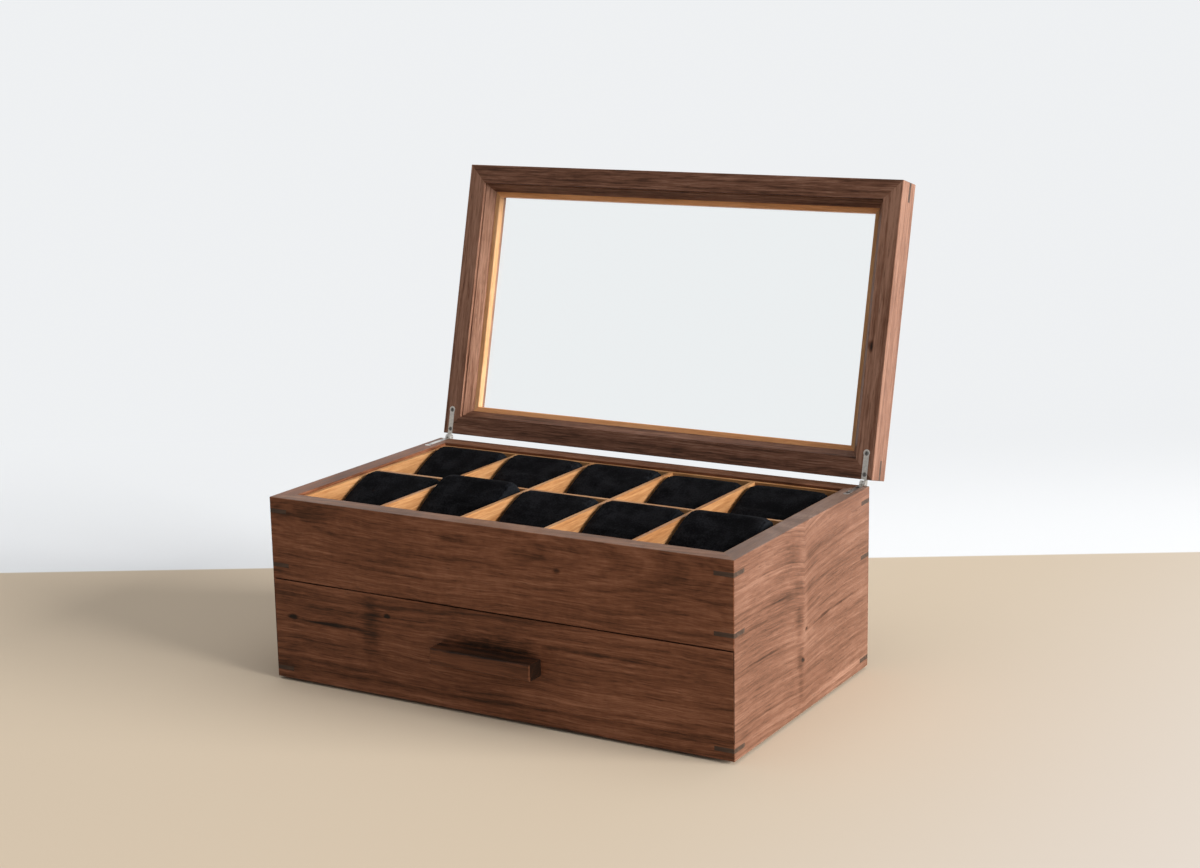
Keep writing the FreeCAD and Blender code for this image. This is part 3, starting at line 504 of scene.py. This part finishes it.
WALNUT = {
    "steps": ((0.0, (0.014, 0.0075, 0.005, 1)), (0.25, (0.074, 0.027, 0.0125, 1)),
              (0.5, (0.164, 0.061, 0.030, 1)), (0.85, (0.292, 0.128, 0.071, 1))),
    "pore": (0.045, 0.019, 0.010, 1),
}
PALE_WALNUT = {
    "steps": ((0.0, (0.016, 0.010, 0.008, 1)), (0.25, (0.075, 0.033, 0.019, 1)),
              (0.5, (0.160, 0.074, 0.046, 1)), (0.85, (0.290, 0.158, 0.108, 1))),
    "pore": (0.050, 0.025, 0.016, 1),
}
DARK_WALNUT = {
    "steps": ((0.0, (0.015, 0.010, 0.008, 1)), (0.5, (0.060, 0.038, 0.028, 1)),
              (1.0, (0.135, 0.085, 0.058, 1))),
    "pore": (0.02, 0.012, 0.009, 1),
}
CHERRY = {
    "steps": ((0.0, (0.18, 0.068, 0.024, 1)), (0.35, (0.32, 0.145, 0.055, 1)),
              (0.6, (0.41, 0.208, 0.087, 1)), (1.0, (0.53, 0.300, 0.142, 1))),
    "pore": (0.26, 0.11, 0.045, 1),
}
WARM_CHERRY = {
    "steps": ((0.0, (0.40, 0.170, 0.060, 1)), (0.35, (0.60, 0.27, 0.11, 1)),
              (0.6, (0.72, 0.34, 0.145, 1)), (1.0, (0.80, 0.42, 0.20, 1))),
    "pore": (0.42, 0.18, 0.07, 1),
}
PALE_CHERRY = {
    "steps": ((0.0, (0.24, 0.100, 0.040, 1)), (0.35, (0.42, 0.21, 0.09, 1)),
              (0.6, (0.54, 0.30, 0.145, 1)), (1.0, (0.68, 0.43, 0.25, 1))),
    "pore": (0.30, 0.13, 0.055, 1),
}
BIRCH = {
    "steps": ((0.0, (0.34, 0.22, 0.12, 1)), (0.5, (0.48, 0.34, 0.20, 1)),
              (1.0, (0.58, 0.44, 0.29, 1))),
    "pore": (0.34, 0.23, 0.14, 1),
}

# Each board's marks and figure, as seen from outside with the grain running to the right.
# A few marks are painted shade or a painted shadow.

UPPER_PANEL = {
    "marks": {
        "arch_over_eye": (-28, 17, 15, 3.5, -0.20),
        "shade_round_eye": (-36, 7, 26, 7, -0.16),
        "pale_eye": (-38, 7, 14, 2.4, 0.14),
        "short_streak": (4, 3, 9, 1.2, -0.16),
        "knot": (52, 5.7, 3.2, 2.0, -0.40),
        "right_end_streak": (165, 0, 16, 3.0, -0.28),
        "low_right_streak": (150, -22.5, 32, 2.6, -0.24),
        "left_end_streak": (-165, 18, 16, 2.5, -0.22),
        "pale_over_knot": (60, 16, 30, 6.0, 0.10),
        # Painted shade: the panel darker towards its left end, away from the window
        "dark_left_end": (-120, 0, 60, 30, -0.05),
    },
    "streaks": 0.9,
    "figure": {"Seed": 3.0, "Heart_Across": 17.0, "Heart_Depth": 1.0, "Heart_Slope": 0.15,
               "Ring_Width": 5.5, "Wander": 9.0, "Curl": 0.35},
}
DRAWER_FACE = {
    "marks": {
        "left_knot": (-162, 4.0, 5, 2.4, -0.75),
        "streak_from_left_knot": (-132, 2.8, 38, 1.5, -0.45),
        "right_knot": (-82, 15.4, 3.2, 1.7, -0.85),
        "smoke_by_right_knot": (-96, 8, 9, 24, -0.26),
        "long_streak": (94, 12.5, 66, 2.4, -0.28),
        "dark_upper_corner": (-172, 22, 22, 9, -0.15),
        # Painted shadow: a dark band just over the pull, where the pull shades the face
        "shade_over_pull": (2, 7, 46, 6, -0.34),
        "streak_over_pull": (10, 14, 40, 3, -0.18),
        # Painted shade: the face a little darker all round the pull
        "shade_round_pull": (0, -2, 60, 22, -0.10),
        "dark_lower_corner": (-165, -27, 14, 18, -0.14),
        "pale_right_end": (130, -14, 55, 15, 0.10),
        "pale_under_pull": (-20, -18, 60, 5, 0.07),
        # Painted shade: the face darker towards its left end, away from the window
        "dark_left_end": (-130, 5, 60, 30, -0.11),
    },
    "lift": -0.025,
    "figure": {"Seed": 8.0, "Heart_Across": 55.0, "Heart_Depth": 25.0, "Heart_Slope": 0.03,
               "Ring_Width": 5.0, "Wander": 9.0, "Curl": 0.25},
}
RIGHT_SIDE = {
    "marks": {
        "crotch_top": (-12, 30, 9, 8, -0.12),
        "crotch_upper": (-10, 4, 7, 16, -0.20),
        "crotch_lower": (-8, -24, 6, 12, -0.22),
        "crotch_foot": (-7, -44, 5, 9, -0.14),
        "pale_by_crotch": (0, 10, 4, 34, 0.12),
        "upper_knot": (1, -2.7, 2.4, 1.5, -0.60),
        "lower_knot": (-4, -24.5, 2.6, 1.8, -0.50),
        "front_streak": (-60, -8.4, 52, 1.2, -0.24),
        "rear_streak": (55, -4.2, 52, 1.3, -0.28),
        "streak_before_crotch": (-36, 24, 20, 4, -0.18),
        "streak_behind_crotch": (24, -6, 15, 4, -0.20),
        "pale_foot": (60, -56, 54, 3.5, 0.22),
        "dark_top": (-22, 56, 14, 12, -0.12),
        "pale_top": (-4, 48, 8, 8, 0.14),
    },
    "colours": PALE_WALNUT,
    "contrast": 0.66,
    "streaks": 1.2,
    "dip": {"Band": -2.0, "Dip": 9.0, "Width": 26.0},
    "figure": {"Seed": 11.0, "Heart_Across": -150.0, "Heart_Depth": 30.0, "Heart_Slope": 0.02,
               "Ring_Width": 3.2, "Wander": 7.0, "Curl": 0.2},
}
LEFT_SIDE = {
    "marks": {
        "upper_streak": (20, 12, 40, 5, -0.2),
        "lower_streak": (-50, -30, 30, 4, -0.22),
        "pale_streak": (60, 40, 30, 6, 0.12),
    },
    "lift": -0.07,
    "figure": {"Seed": 13.0, "Heart_Across": -90.0, "Heart_Depth": 30.0, "Heart_Slope": 0.05,
               "Ring_Width": 5.0, "Wander": 8.0, "Curl": 0.2},
}
BACK_FACE = {
    "marks": {
        "upper_streak": (-80, 20, 50, 4, -0.2),
        "lower_streak": (70, -25, 60, 5, -0.2),
        "knot": (110, 35, 3, 2, -0.6),
    },
    "figure": {"Seed": 17.0, "Heart_Across": 8.0, "Heart_Depth": 12.0, "Heart_Slope": 0.10,
               "Ring_Width": 6.0, "Wander": 10.0, "Curl": 0.25},
}
PULL_BAR = {
    # Painted shade: the pull's top face darker than its front, as less light reaches it
    "marks": {"dark_top": (0, 5.6, 70, 1.4, -0.30)},
    "lift": -0.17,
    "contrast": 0.6,
    "end_tone": -0.36,
    "figure": {"Seed": 19.0, "Heart_Across": -30.0, "Heart_Depth": 30.0, "Ring_Width": 3.0},
}
CASE_BOARDS = {
    "front_panel": ("front", UPPER_PANEL),
    "front_rail": ("front", DRAWER_FACE),
    "drawer_front": ("front", DRAWER_FACE),
    "side_panel_right": ("right", RIGHT_SIDE),
    "side_panel_left": ("left", LEFT_SIDE),
    "back_panel": ("back", BACK_FACE),
    "drawer_pull": ("front", PULL_BAR),
}
# How far each board's level top edge takes the painted sheen
RIM_SHEEN_SHARES = {
    "front_panel": 0.85,
    "side_panel_right": 0.7,
    "back_panel": 0.5,
    "side_panel_left": 0.35,
}
KEY_LOOK = {"end_tone": KEY_END_TONE, "Ring_Width": 3.0}

LID_RAIL_SEED = 23.0
LID_RAIL_LOOK = {
    "contrast": 0.8,
    "streaks": 1.5,
    "Heart_Across": 40.0,
    "Heart_Slope": 0.02,
    "Ring_Width": 3.5,
}
LID_RAIL_LIFTS = {"front": -0.06, "right": 0.16, "back": -0.06, "left": 0.16}
LID_RAIL_MARKS = {
    "right": {
        "knot": (12, 1, 4, 2.2, -0.6),
        "streak_past_knot": (2, 4.5, 36, 1.6, -0.3),
        "rear_streak": (-50, -2, 30, 1.4, -0.2),
    },
}
BEAD_SEED = 31.0
BEAD_RING_WIDTH = 3.0
BEAD_COLOURS = {
    "front": (WARM_CHERRY, 0.0),
    "right": (PALE_CHERRY, 0.10),
    "back": (WARM_CHERRY, 0.12),
    "left": (PALE_CHERRY, 0.05),
}

CELL_COUNT = 5
LINER_SEED = 41.0
LONG_DIVIDER_SEED = 51.0
CROSS_DIVIDER_SEED = 52.0
TRAY_LOOK = {"contrast": 1.25, "Ring_Width": 4.0}
DRAWER_WALL_SEED = 61.0
DRAWER_WALL_LOOK = {"contrast": 0.6, "pores": 0.2, "Ring_Width": 5.0}
DRAWER_WALLS = {
    "drawer_back": "back",
    "drawer_side_left": "right",
    "drawer_side_right": "right",
    "drawer_runner_left": "right",
    "drawer_runner_right": "right",
}
LEVEL_BOARD_SEED = 71.0
LEVEL_BOARD_LOOK = {"contrast": 0.6, "pores": 0.2, "Ring_Width": 9.0}
LEVEL_BOARDS = ("drawer_bottom", "bottom_panel", "tray_floor")

UPRIGHT = Matrix.Rotation(QUARTER_TURN, 3, "X")
SIDES = {"front": 0, "right": 90, "back": 180, "left": 270}


def facing(side):
    return Matrix.Rotation(math.radians(SIDES[side]), 3, "Z")


def centre_of(node):
    low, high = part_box(node)
    return (Vector(low) + Vector(high)) / 2


def dress_board(node, kind, colours, turn, **look):
    dress(node, wood(f"{kind}_{node}", colours, centre_of(node), turn, **look))


def dress_case():
    """The rail under the drawer was sawn from the drawer front's board, so they share its figure."""
    for node, (side, board) in CASE_BOARDS.items():
        look = {name: value for name, value in board.items() if name not in ("figure", "colours")}
        look.update(board["figure"], rim=RIM_SHEEN_SHARES.get(node, 0.0))
        centre = centre_of("drawer_front" if node == "front_rail" else node)
        colours = board.get("colours", WALNUT)
        dress(node, wood(f"walnut_{node}", colours, centre, facing(side) @ UPRIGHT, **look))
    for node in ("corner_keys_top", "corner_keys_middle", "corner_keys_bottom"):
        dress_board(node, "key", DARK_WALNUT, facing("front"), **KEY_LOOK)


def dress_lid():
    for number, side in enumerate(SIDES):
        turn = LEAN @ facing(side)
        look = {"Seed": LID_RAIL_SEED + number, "lift": LID_RAIL_LIFTS[side], **LID_RAIL_LOOK}
        look["marks"] = LID_RAIL_MARKS.get(side)
        dress_board(f"lid_rail_{side}", "walnut", PALE_WALNUT, turn, **look)
        colours, lift = BEAD_COLOURS[side]
        look = {"Seed": BEAD_SEED + number, "lift": lift, "Ring_Width": BEAD_RING_WIDTH}
        dress_board(f"glass_bead_{side}", "cherry", colours, turn, **look)
    dress("lid_keys", wood("key_lid", DARK_WALNUT, centre_of("lid_keys"), LEAN, **KEY_LOOK))


def dress_tray():
    for number, side in enumerate(SIDES):
        turn = facing(side) @ UPRIGHT
        dress_board(f"liner_{side}", "cherry", CHERRY, turn, Seed=LINER_SEED + number, **TRAY_LOOK)
    dress_board("long_divider", "cherry", CHERRY, UPRIGHT, Seed=LONG_DIVIDER_SEED, **TRAY_LOOK)
    turn = facing("right") @ UPRIGHT
    for number in range(1, CELL_COUNT):
        look = {"Seed": CROSS_DIVIDER_SEED + number, **TRAY_LOOK}
        dress_board(f"cross_divider_{number}", "cherry", CHERRY, turn, **look)


def dress_drawer():
    for number, (node, side) in enumerate(DRAWER_WALLS.items()):
        look = {"Seed": DRAWER_WALL_SEED + number, **DRAWER_WALL_LOOK}
        dress_board(node, "birch", BIRCH, facing(side) @ UPRIGHT, **look)
    for number, node in enumerate(LEVEL_BOARDS):
        look = {"Seed": LEVEL_BOARD_SEED + number, **LEVEL_BOARD_LOOK}
        dress_board(node, "birch", BIRCH, facing("front"), **look)


# Cloth, metal and glass

BRUSHED_FINENESS, BRUSHED_EDGES, BRUSHED_SHARE = 70.0, (0.35, 0.68), 0.8
NAP_FINENESS, NAP_SHARE = 900.0, 3.2
NAP_RELIEF, NAP_DEPTH = 0.35, 0.0003
# Painted sheen on the pillows' end panels: a paler, bluer suede colour
PAINTED_END_SHEEN = (0.014, 0.0165, 0.020, 1)
END_FACES = (0.25, 0.85)
NAP_FINISH = {
    "Roughness": 0.95,
    "Specular IOR Level": 0.06,
    "Sheen Roughness": 0.45,
    "Sheen Tint": (0.5, 0.5, 0.56, 1),
}
SUEDE = {
    "dark": (0.0013, 0.0014, 0.0017, 1),
    "light": (0.0085, 0.0087, 0.0100, 1),
    "sheen": 0.015,
    # share of the painted sheen on the end panels
    "ends": 0.35,
}
FELT = {"dark": (0.010, 0.010, 0.011, 1), "light": (0.022, 0.022, 0.024, 1), "sheen": 0.05}
LINING = {"dark": (0.008, 0.008, 0.009, 1), "light": (0.020, 0.020, 0.022, 1), "sheen": 0.08}

WEAR_FINENESS, SHINE_FINENESS, SCRATCH_FINENESS = 500.0, 220.0, 3000.0
WEAR_EDGES = (0.3, 0.7)
WORN_TINT = (0.8, 0.8, 0.8, 1)
SMOOTHER, ROUGHER = 0.08, 0.1
SCRATCH_RELIEF, SCRATCH_DEPTH = 0.08, 0.0001
METALS = {
    "nickel": ((0.80, 0.775, 0.735, 1), 0.40),
    "zinc": ((0.55, 0.56, 0.58, 1), 0.4),
    "worn_steel": ((0.30, 0.29, 0.28, 1), 0.38),
}
HINGE_PARTS = ("case_leaf", "lid_leaf", "pin")
METAL_PIECES = {
    "nickel": [f"hinge_{part}_{side}" for side in ("left", "right") for part in HINGE_PARTS],
    "zinc": ["pull_screws"],
    "worn_steel": ["hinge_case_screws", "hinge_lid_screws"],
}

GLASS_FINISH = {"Transmission Weight": 1.0, "IOR": 1.45, "Base Color": (0.985, 1.0, 0.995, 1)}
GLASS_SHADOW = (0.93, 0.95, 0.94, 1)
SMEAR_FINENESS, SMEAR_EDGES, SMEAR_ROUGHNESS = 9.0, (0.45, 0.75), (0.0, 0.025)


def make_nap_group():
    """Brushed patches and a fine nap. The faces that point along X, the end panels, are painted
    paler and bluer by the share Ends: a painted sheen, as of light caught on them."""
    takes = [("Dark", COLOUR, None), ("Light", COLOUR, None), ("Ends", FLOAT, 0.0)]
    tree, source, result = new_group("brushed_nap", takes, [("Colour", COLOUR), ("Relief", VECTOR)])
    brushed = spread(tree, fuzz(tree, BRUSHED_FINENESS), *BRUSHED_EDGES)
    nap = fuzz(tree, NAP_FINENESS)
    amount = calc(tree, "MULTIPLY", brushed, BRUSHED_SHARE)
    amount = calc(tree, "MULTIPLY_ADD", centred(tree, nap), NAP_SHARE, amount)
    outward = split_axes(tree, coordinates(tree, "Normal"))
    # Painted sheen: faces pointing along X, the end panels, are mixed towards a paler, bluer colour
    at_ends = spread(tree, calc(tree, "ABSOLUTE", outward["X"]), *END_FACES)
    painted_end_sheen = calc(tree, "MULTIPLY", at_ends, source["Ends"])
    colour = mix(tree, amount, source["Dark"], source["Light"])
    tree.links.new(mix(tree, painted_end_sheen, colour, PAINTED_END_SHEEN), result["Colour"])
    tree.links.new(relief(tree, nap, NAP_RELIEF, NAP_DEPTH), result["Relief"])
    return tree


def make_wear_group():
    """Plated metal, drawn and tumbled: fine scratches and cloudy shine."""
    takes = [("Colour", COLOUR, None), ("Roughness", FLOAT, 0.4)]
    gives = [("Colour", COLOUR), ("Roughness", FLOAT), ("Relief", VECTOR)]
    tree, source, result = new_group("metal_wear", takes, gives)
    worn = spread(tree, fuzz(tree, WEAR_FINENESS), *WEAR_EDGES)
    dulled = mix(tree, 1.0, source["Colour"], WORN_TINT, "MULTIPLY")
    tree.links.new(mix(tree, worn, source["Colour"], dulled), result["Colour"])
    shiniest = calc(tree, "SUBTRACT", source["Roughness"], SMOOTHER)
    dullest = calc(tree, "ADD", source["Roughness"], ROUGHER)
    roughness = spread(tree, fuzz(tree, SHINE_FINENESS), *WEAR_EDGES, shiniest, dullest)
    tree.links.new(roughness, result["Roughness"])
    scratches = relief(tree, fuzz(tree, SCRATCH_FINENESS), SCRATCH_RELIEF, SCRATCH_DEPTH)
    tree.links.new(scratches, result["Relief"])
    return tree


nap_group = make_nap_group()
wear_group = make_wear_group()


def napped(name, dark, light, sheen, ends=0.0):
    """Black suede or felt, with a soft bloom at glancing angles."""
    material, tree, shader = new_material(name)
    set_inputs(shader, {**NAP_FINISH, "Sheen Weight": sheen})
    out = use(tree, nap_group, Dark=dark, Light=light, Ends=ends)
    tree.links.new(out["Colour"], shader.inputs["Base Color"])
    tree.links.new(out["Relief"], shader.inputs["Normal"])
    return material


def plated(name, colour, roughness):
    material, tree, shader = new_material(name)
    shader.inputs["Metallic"].default_value = 1.0
    out = use(tree, wear_group, Colour=colour, Roughness=roughness)
    tree.links.new(out["Colour"], shader.inputs["Base Color"])
    tree.links.new(out["Roughness"], shader.inputs["Roughness"])
    tree.links.new(out["Relief"], shader.inputs["Normal"])
    return material


def clear_pane():
    """Clear glass with a few wiped smears, which lets light through to what lies behind it."""
    material, tree, shader = new_material("clear_pane")
    set_inputs(shader, GLASS_FINISH)
    smears = fuzz(tree, SMEAR_FINENESS, detail=2.0)
    tree.links.new(spread(tree, smears, *SMEAR_EDGES, *SMEAR_ROUGHNESS), shader.inputs["Roughness"])
    lit = add(tree, "ShaderNodeLightPath").outputs["Is Shadow Ray"]
    let_through = add(tree, "ShaderNodeBsdfTransparent", {"Color": GLASS_SHADOW}).outputs[0]
    blend = add(tree, "ShaderNodeMixShader", {0: lit, 1: shader.outputs[0], 2: let_through})
    tree.links.new(blend.outputs[0], tree.nodes["Material Output"].inputs["Surface"])
    return material


def dress_fittings():
    for name, (colour, roughness) in METALS.items():
        metal = plated(name, colour, roughness)
        for node in METAL_PIECES[name]:
            dress(node, metal)
    dress("glass_pane", clear_pane())
    dress("base_pad", napped("black_felt", **FELT))
    dress("drawer_lining", napped("black_lining", **LINING))


# Pillows: foam ovals in black suede, with a sewn panel at each end. Lengths in millimetres.

PILLOW_ROWS = ("front", "back")
PILLOW_END_RADIUS = 12.4
PILLOW_SEAM = 26.7
PILLOW_REFERENCE_HALF_WIDTH = 38
SEAM_DEPTH = 1.3
SEAM_SECTION = 0.968 - SEAM_DEPTH / PILLOW_REFERENCE_HALF_WIDTH
PANEL_CROWN = 0.8
PUCKER_DEPTH = 1.1
PUCKER_COUNT = 34
PUCKER_REACH = 5.0
PANEL_PUCKER_REACH = 4.0
PUCKER_DRIFT = 2.5
PUCKER_DRIFT_COUNT = 3
STEPS_AROUND = 88
SWELL_LIMIT = 1.6
SWELL_STEPS = 14

# Shares of the way from the middle to the seam, from the seam to the end panel's edge, and of the
# end panel's crown, each with the share of the full section there
WRAP_SECTIONS = [
    (0.0, 0.996), (0.2, 0.997), (0.4, 0.999), (0.6, 1.0),
    (0.75, 1.0), (0.86, 0.998), (0.93, 0.992), (0.975, 0.979),
]
PANEL_SECTIONS = [
    (0.12, 0.972), (0.3, 0.962), (0.5, 0.944),
    (0.7, 0.916), (0.87, 0.878), (0.96, 0.83),
]
CROWN_SECTIONS = [(0.3, 0.70), (0.65, 0.52), (0.85, 0.34), (0.97, 0.17)]

CLOTH = {
    "quality": 6,
    "mass": 0.15,
    "tension_stiffness": 12,
    "compression_stiffness": 12,
    "shear_stiffness": 5,
    "bending_stiffness": 1.5,
    "use_pressure": True,
    "uniform_pressure_force": 4,
    "shrink_min": -0.006,
    "vertex_group_mass": "held",
}


def lean_of(node, centre):
    """The slope of a pillow's broad faces, from the directions in which its solid spreads."""
    spots = np.array([(v.co.y - centre.y, v.co.z - centre.z) for v in nodes[node].data.vertices])
    values, directions = np.linalg.eigh(spots.T @ spots)
    along = directions[:, int(np.argmax(values))]
    return math.atan2(along[1], along[0]) if along[0] > 0 else math.atan2(-along[1], -along[0])


def oval(half_width, half_thick, end_radius, count):
    """Evenly spaced points round a four-centred oval."""
    offset = half_width - end_radius
    broad = (offset**2 + half_thick**2 - end_radius**2) / (2 * (half_thick - end_radius))
    swing = math.atan2(offset, broad - half_thick)
    quarter = broad * swing + end_radius * (QUARTER_TURN - swing)
    points = []
    for i in range(count):
        quadrant, run = divmod(i * 4 * quarter / count, quarter)
        if quadrant % 2:
            run = quarter - run
        if run < broad * swing:
            angle = run / broad
            spot = Vector((broad * math.sin(angle), broad * math.cos(angle) - broad + half_thick))
        else:
            angle = swing + (run - broad * swing) / end_radius
            spot = Vector((offset + end_radius * math.sin(angle), end_radius * math.cos(angle)))
        across = 1 if quadrant < 2 else -1
        up = 1 if quadrant in (0, 3) else -1
        points.append(Vector((spot.x * across, spot.y * up)))
    return points


def pillow_stations(half_length):
    """Places along a pillow, each with the share of the full section it has there."""
    panel = half_length - PILLOW_SEAM
    half = [(share * PILLOW_SEAM, section) for share, section in WRAP_SECTIONS]
    half.append((PILLOW_SEAM, SEAM_SECTION))
    half += [(PILLOW_SEAM + share * panel, section) for share, section in PANEL_SECTIONS]
    half += [(half_length + PANEL_CROWN * rise, section) for rise, section in CROWN_SECTIONS]
    return [(-x, section) for x, section in reversed(half)] + half[1:]


def pillow_points(stations, ring, half_width, seed):
    """The rings of a pillow, ruffled near the seams."""
    points = []
    for x, section in stations:
        reach = PUCKER_REACH if abs(x) < PILLOW_SEAM else PANEL_PUCKER_REACH
        near_seam = math.exp(-abs(abs(x) - PILLOW_SEAM) / reach)
        for i, spot in enumerate(ring):
            turn = i / STEPS_AROUND * math.tau
            drift = PUCKER_DRIFT * math.sin(turn * PUCKER_DRIFT_COUNT + seed)
            ruffle = math.sin(turn * PUCKER_COUNT + drift + math.copysign(1, x))
            push = 1 + near_seam * ruffle * PUCKER_DEPTH / half_width
            points.append((x, spot.x * section * push, spot.y * section * push))
    return points


def pillow_faces(row_count):
    """Faces between the rings, then a fan at each end round its middle point."""
    faces = []
    for row in range(row_count - 1):
        for i in range(STEPS_AROUND):
            here, there = row * STEPS_AROUND + i, row * STEPS_AROUND + (i + 1) % STEPS_AROUND
            faces.append((here, there, there + STEPS_AROUND, here + STEPS_AROUND))
    hub = row_count * STEPS_AROUND
    for i in range(STEPS_AROUND):
        faces.append(((i + 1) % STEPS_AROUND, i, hub))
    last = (row_count - 1) * STEPS_AROUND
    for i in range(STEPS_AROUND):
        faces.append((last + i, last + (i + 1) % STEPS_AROUND, hub + 1))
    return faces


def make_pillow(node, seed):
    """A pillow's form round its solid's size and slope, with the end panels and seams held."""
    low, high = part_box(node)
    centre = (Vector(low) + Vector(high)) / 2
    lean = lean_of(node, centre)
    level = Matrix.Rotation(-lean, 3, "X")
    spots = [level @ (v.co - centre) / MM for v in nodes[node].data.vertices]
    half_length, half_width, half_thick = (max(abs(spot[i]) for spot in spots) for i in range(3))

    stations = pillow_stations(half_length)
    ring = oval(half_width, half_thick, PILLOW_END_RADIUS, STEPS_AROUND)
    points = pillow_points(stations, ring, half_width, seed)
    points += [(side * (half_length + PANEL_CROWN), 0, 0) for side in (-1, 1)]
    mesh = bpy.data.meshes.new(f"{node}_suede")
    mesh.from_pydata(points, [], pillow_faces(len(stations)))
    tilt = Matrix.Rotation(lean, 4, "X")
    mesh.transform(Matrix.Translation(centre) @ tilt @ Matrix.Scale(MM, 4))

    piece = bpy.data.objects.new(f"{node}_suede", mesh)
    scene.collection.objects.link(piece)
    rows = [row for row, (x, section) in enumerate(stations) if abs(x) >= PILLOW_SEAM]
    held = [row * STEPS_AROUND + i for row in rows for i in range(STEPS_AROUND)]
    held += [len(points) - 2, len(points) - 1]
    piece.vertex_groups.new(name="held").add(held, 1.0, "REPLACE")
    return piece


def fill_pillows(pieces):
    """The stuffing swells the suede between its seams, which are held, and the cloth is a little
    larger than the form, so it puckers beside them."""
    for piece in pieces:
        cloth = piece.modifiers.new("stuffing", "CLOTH")
        for name, value in CLOTH.items():
            setattr(cloth.settings, name, value)
        cloth.settings.effector_weights.gravity = 0
        cloth.point_cache.frame_start = 1
        cloth.point_cache.frame_end = SWELL_STEPS
    for step in range(1, SWELL_STEPS + 1):
        scene.frame_set(step)
    ready = bpy.context.evaluated_depsgraph_get()
    swollen = [[v.co.copy() for v in piece.evaluated_get(ready).data.vertices] for piece in pieces]
    reach = SWELL_LIMIT * MM
    for piece, spots in zip(pieces, swollen):
        piece.modifiers.clear()
        for vertex, spot in zip(piece.data.vertices, spots):
            move = spot - vertex.co
            if move.length > reach:
                move *= reach / move.length
            vertex.co += move
    scene.frame_set(1)


def finish_pillow(piece, node, suede):
    mesh = piece.data
    mesh.materials.append(suede)
    mesh.polygons.foreach_set("use_smooth", [True] * len(mesh.polygons))
    rounder = piece.modifiers.new("rounder", "SUBSURF")
    rounder.levels = rounder.render_levels = 1
    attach(piece, f"{node}_body")
    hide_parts(node)


def make_all_pillows():
    suede = napped("black_suede", **SUEDE)
    names = [f"pillow_{row}_{n}" for row in PILLOW_ROWS for n in range(1, CELL_COUNT + 1)]
    pieces = {name: make_pillow(name, seed) for seed, name in enumerate(names)}
    fill_pillows(list(pieces.values()))
    for name, piece in pieces.items():
        finish_pillow(piece, name, suede)


make_camera()
make_world()
make_lamp("window", **WINDOW)
make_lamp("ceiling", **CEILING)
make_floor()
dress_case()
dress_lid()
dress_tray()
dress_drawer()
dress_fittings()
make_all_pillows()

scene.view_settings.view_transform = "Standard"
